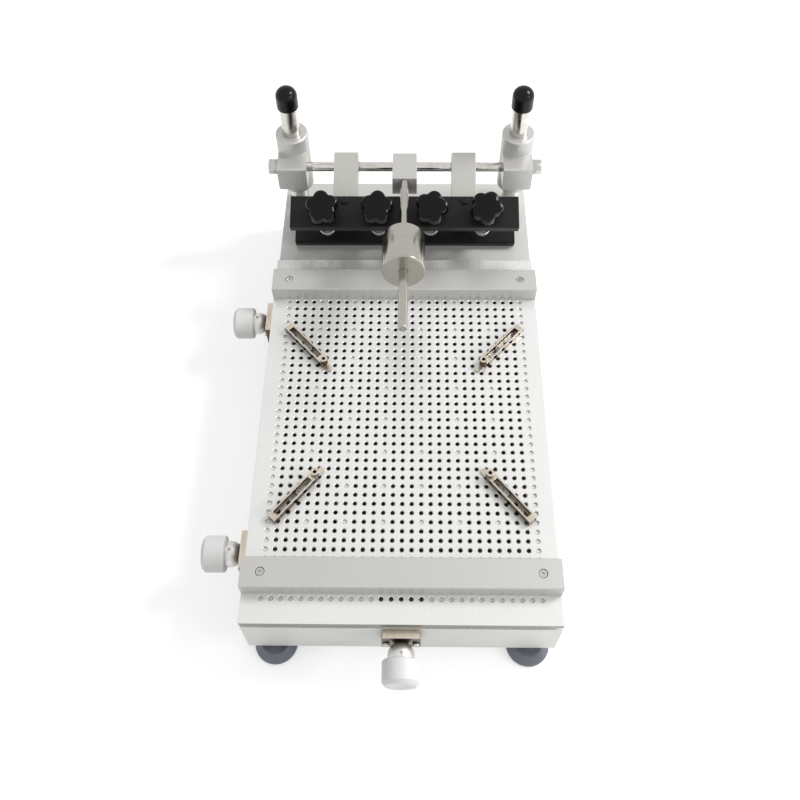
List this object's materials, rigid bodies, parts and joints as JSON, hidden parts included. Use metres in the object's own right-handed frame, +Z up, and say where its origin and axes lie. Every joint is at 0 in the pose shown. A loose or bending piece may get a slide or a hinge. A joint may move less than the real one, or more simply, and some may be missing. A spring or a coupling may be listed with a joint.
{
  "type": "manual stencil printer",
  "caption": "Bench stencil printer: hole plate on a screw-adjusted stage, tilting clamp bars with star knobs on posts, and a swing-over counterweight.",
  "frame": {"origin": "middle of the part's box, on the bench under the feet", "axes": "+Z up, +Y from the operator's side to the posts at the back, +X to the operator's right"},
  "size_m": [0.38, 0.642, 0.287],
  "materials": {
    "casing_finish": "fine satin anodised",
    "floor_sheet": "plain rolled sheet",
    "foot_rubber": "moulded",
    "plain_steel": "zinc plated",
    "nickel_plate": "nickel plated",
    "chrome_rod": "ground and chromed",
    "soft_cap": "dipped, glossy",
    "glide_plastic": "machined",
    "stage_aluminium": "milled",
    "plate_aluminium": "brushed and anodised",
    "bar_aluminium": "brushed and anodised",
    "nut_brass": "turned",
    "knob_white": "satin",
    "block_aluminium": "bead blasted",
    "arm_aluminium": "milled and anodised",
    "black_anodised": "black anodised",
    "pad_steel": "turned",
    "knob_black": "moulded, glossy",
    "weight_steel": "turned, nickel plated",
    "fixture_nickel": "nickel plated",
    "fixture_screw_steel": "zinc plated"
  },
  "bodies": {
    "base": {"base_casing": "casing_finish", "base_floor": "floor_sheet", "floor_screws": "plain_steel", "foot_pads": "foot_rubber", "foot_studs": "plain_steel", "adjuster_brackets": "nickel_plate", "bracket_screws": "plain_steel", "posts": "chrome_rod", "post_nuts": "plain_steel", "post_caps": "soft_cap", "pivot_pin": "plain_steel", "glide_pads": "glide_plastic"},
    "swing_bed": {"swing_bed": "stage_aluminium", "x_guide_rods": "chrome_rod"},
    "x_carriage": {"x_carriage": "stage_aluminium", "y_guide_rods": "chrome_rod"},
    "platform": {"platform_carrier": "stage_aluminium", "carrier_screws": "plain_steel", "hole_plate": "plate_aluminium", "rest_bars": "bar_aluminium", "rest_bar_screws": "plain_steel"},
    "y_nut": {"y_nut": "nut_brass"},
    "x_nut": {"x_nut": "nut_brass"},
    "theta_nut": {"theta_nut": "nut_brass"},
    "front_adjuster": {"front_knob": "knob_white", "front_hub": "nickel_plate", "front_lead_screw": "plain_steel"},
    "side_adjuster": {"side_knob": "knob_white", "side_hub": "nickel_plate", "side_lead_screw": "plain_steel"},
    "angle_adjuster": {"angle_knob": "knob_white", "angle_hub": "nickel_plate", "angle_lead_screw": "plain_steel"},
    "hinge_carriage": {"left_hinge_block": "block_aluminium", "right_hinge_block": "block_aluminium", "lock_bolts": "plain_steel"},
    "clamp": {"hinge_shaft": "chrome_rod", "clamp_arms": "arm_aluminium", "upper_clamp_bar": "black_anodised", "lower_clamp_bar": "black_anodised", "clamp_bar_screws": "plain_steel"},
    "counterweight_arm": {"counterweight_block": "block_aluminium", "counterweight_rod": "chrome_rod"},
    "counterweight": {"counterweight": "weight_steel"},
    "clamp_pad_1": {"clamp_pad_1": "pad_steel"},
    "star_knob_1": {"star_knob_1": "knob_black"},
    "clamp_pad_2": {"clamp_pad_2": "pad_steel"},
    "star_knob_2": {"star_knob_2": "knob_black"},
    "clamp_pad_3": {"clamp_pad_3": "pad_steel"},
    "star_knob_3": {"star_knob_3": "knob_black"},
    "clamp_pad_4": {"clamp_pad_4": "pad_steel"},
    "star_knob_4": {"star_knob_4": "knob_black"},
    "front_left_fixture_screw": {"front_left_fixture_screw": "fixture_screw_steel"},
    "front_left_fixture": {"front_left_fixture": "fixture_nickel"},
    "front_right_fixture_screw": {"front_right_fixture_screw": "fixture_screw_steel"},
    "front_right_fixture": {"front_right_fixture": "fixture_nickel"},
    "rear_left_fixture_screw": {"rear_left_fixture_screw": "fixture_screw_steel"},
    "rear_left_fixture": {"rear_left_fixture": "fixture_nickel"},
    "rear_right_fixture_screw": {"rear_right_fixture_screw": "fixture_screw_steel"},
    "rear_right_fixture": {"rear_right_fixture": "fixture_nickel"}
  },
  "joints": [
    {"name": "front_knob_turn", "type": "hinge", "parent": "base", "child": "front_adjuster", "pos_m": [0.02, -0.271, 0.072], "axis": [0, 1, 0], "range_deg": [-1442, 1442]},
    {"name": "side_knob_turn", "type": "hinge", "parent": "base", "child": "side_adjuster", "pos_m": [-0.14, -0.19, 0.072], "axis": [1, 0, 0], "range_deg": [-1442, 1442]},
    {"name": "angle_knob_turn", "type": "hinge", "parent": "base", "child": "angle_adjuster", "pos_m": [-0.14, 0.104, 0.072], "axis": [1, 0, 0], "range_deg": [-1442, 1442]},
    {"name": "y_nut_slide", "type": "slide", "parent": "base", "child": "y_nut", "axis": [0, 1, 0], "range_m": [-0.00801, 0.00801]},
    {"name": "x_nut_slide", "type": "slide", "parent": "base", "child": "x_nut", "axis": [1, 0, 0], "range_m": [-0.00801, 0.00801]},
    {"name": "theta_nut_slide", "type": "slide", "parent": "base", "child": "theta_nut", "axis": [1, 0, 0], "range_m": [-0.00801, 0.00801]},
    {"name": "bed_swing", "type": "hinge", "parent": "base", "child": "swing_bed", "pos_m": [0.02, -0.19, 0.036], "axis": [0, 0, 1], "range_deg": [-1.56, 1.56]},
    {"name": "carriage_slide", "type": "slide", "parent": "swing_bed", "child": "x_carriage", "axis": [1, 0, 0], "range_m": [-0.008, 0.008]},
    {"name": "platform_slide", "type": "slide", "parent": "x_carriage", "child": "platform", "axis": [0, 1, 0], "range_m": [-0.008, 0.008]},
    {"name": "hinge_lift", "type": "slide", "parent": "base", "child": "hinge_carriage", "axis": [0, 0, 1], "range_m": [0, 0.035]},
    {"name": "clamp_tilt", "type": "hinge", "parent": "hinge_carriage", "child": "clamp", "pos_m": [0.02, 0.27, 0.178], "axis": [-1, 0, 0], "range_deg": [0, 67]},
    {"name": "counterweight_swing", "type": "hinge", "parent": "clamp", "child": "counterweight_arm", "pos_m": [0.02, 0.27, 0.178], "axis": [-1, 0, 0], "range_deg": [0, 140]},
    {"name": "counterweight_slide", "type": "slide", "parent": "counterweight_arm", "child": "counterweight", "axis": [0, -0.9877, 0.1564], "range_m": [-0.012, 0.075]},
    {"name": "pad_1_slide", "type": "slide", "parent": "clamp", "child": "clamp_pad_1", "axis": [0, -0.3696, 0.9292], "range_m": [-0.003, 0.033]},
    {"name": "star_1_turn", "type": "hinge", "parent": "clamp_pad_1", "child": "star_knob_1", "pos_m": [-0.0775, 0.18961, 0.188], "axis": [0, -0.3696, 0.9292], "range_deg": [-860, 9480]},
    {"name": "pad_2_slide", "type": "slide", "parent": "clamp", "child": "clamp_pad_2", "axis": [0, -0.3696, 0.9292], "range_m": [-0.003, 0.033]},
    {"name": "star_2_turn", "type": "hinge", "parent": "clamp_pad_2", "child": "star_knob_2", "pos_m": [-0.0125, 0.18961, 0.188], "axis": [0, -0.3696, 0.9292], "range_deg": [-860, 9480]},
    {"name": "pad_3_slide", "type": "slide", "parent": "clamp", "child": "clamp_pad_3", "axis": [0, -0.3696, 0.9292], "range_m": [-0.003, 0.033]},
    {"name": "star_3_turn", "type": "hinge", "parent": "clamp_pad_3", "child": "star_knob_3", "pos_m": [0.0525, 0.18961, 0.188], "axis": [0, -0.3696, 0.9292], "range_deg": [-860, 9480]},
    {"name": "pad_4_slide", "type": "slide", "parent": "clamp", "child": "clamp_pad_4", "axis": [0, -0.3696, 0.9292], "range_m": [-0.003, 0.033]},
    {"name": "star_4_turn", "type": "hinge", "parent": "clamp_pad_4", "child": "star_knob_4", "pos_m": [0.1175, 0.18961, 0.188], "axis": [0, -0.3696, 0.9292], "range_deg": [-860, 9480]},
    {"name": "front_left_fixture_swivel", "type": "hinge", "parent": "platform", "child": "front_left_fixture_screw", "pos_m": [-0.09, -0.136, 0.105], "axis": [0, 0, 1], "range_deg": [-40, 40]},
    {"name": "front_left_fixture_slide", "type": "slide", "parent": "front_left_fixture_screw", "child": "front_left_fixture", "axis": [0.6428, 0.766, 0], "range_m": [-0.012, 0.028]},
    {"name": "front_right_fixture_swivel", "type": "hinge", "parent": "platform", "child": "front_right_fixture_screw", "pos_m": [0.13, -0.136, 0.105], "axis": [0, 0, 1], "range_deg": [-40, 40]},
    {"name": "front_right_fixture_slide", "type": "slide", "parent": "front_right_fixture_screw", "child": "front_right_fixture", "axis": [-0.6428, 0.766, 0], "range_m": [-0.012, 0.028]},
    {"name": "rear_left_fixture_swivel", "type": "hinge", "parent": "platform", "child": "rear_left_fixture_screw", "pos_m": [-0.09, 0.044, 0.105], "axis": [0, 0, 1], "range_deg": [-40, 40]},
    {"name": "rear_left_fixture_slide", "type": "slide", "parent": "rear_left_fixture_screw", "child": "rear_left_fixture", "axis": [0.682, -0.7314, 0], "range_m": [-0.012, 0.028]},
    {"name": "rear_right_fixture_swivel", "type": "hinge", "parent": "platform", "child": "rear_right_fixture_screw", "pos_m": [0.13, 0.044, 0.105], "axis": [0, 0, 1], "range_deg": [-40, 40]},
    {"name": "rear_right_fixture_slide", "type": "slide", "parent": "rear_right_fixture_screw", "child": "rear_right_fixture", "axis": [-0.682, -0.7314, 0], "range_m": [-0.012, 0.028]}
  ],
  "couplings": [
    {"joint": "y_nut_slide", "follows": "platform_slide", "ratio": 1},
    {"joint": "front_knob_turn", "follows": "platform_slide", "rad_per_m": -3141.6},
    {"joint": "x_nut_slide", "follows": "carriage_slide", "ratio": 1},
    {"joint": "side_knob_turn", "follows": "carriage_slide", "rad_per_m": -3141.6},
    {"joint": "theta_nut_slide", "follows": "bed_swing", "m_per_rad": -0.294},
    {"joint": "angle_knob_turn", "follows": "bed_swing", "ratio": 923.63},
    {"joint": "pad_1_slide", "follows": "star_1_turn", "m_per_rad": 0.00019894},
    {"joint": "pad_2_slide", "follows": "star_2_turn", "m_per_rad": 0.00019894},
    {"joint": "pad_3_slide", "follows": "star_3_turn", "m_per_rad": 0.00019894},
    {"joint": "pad_4_slide", "follows": "star_4_turn", "m_per_rad": 0.00019894}
  ]
}
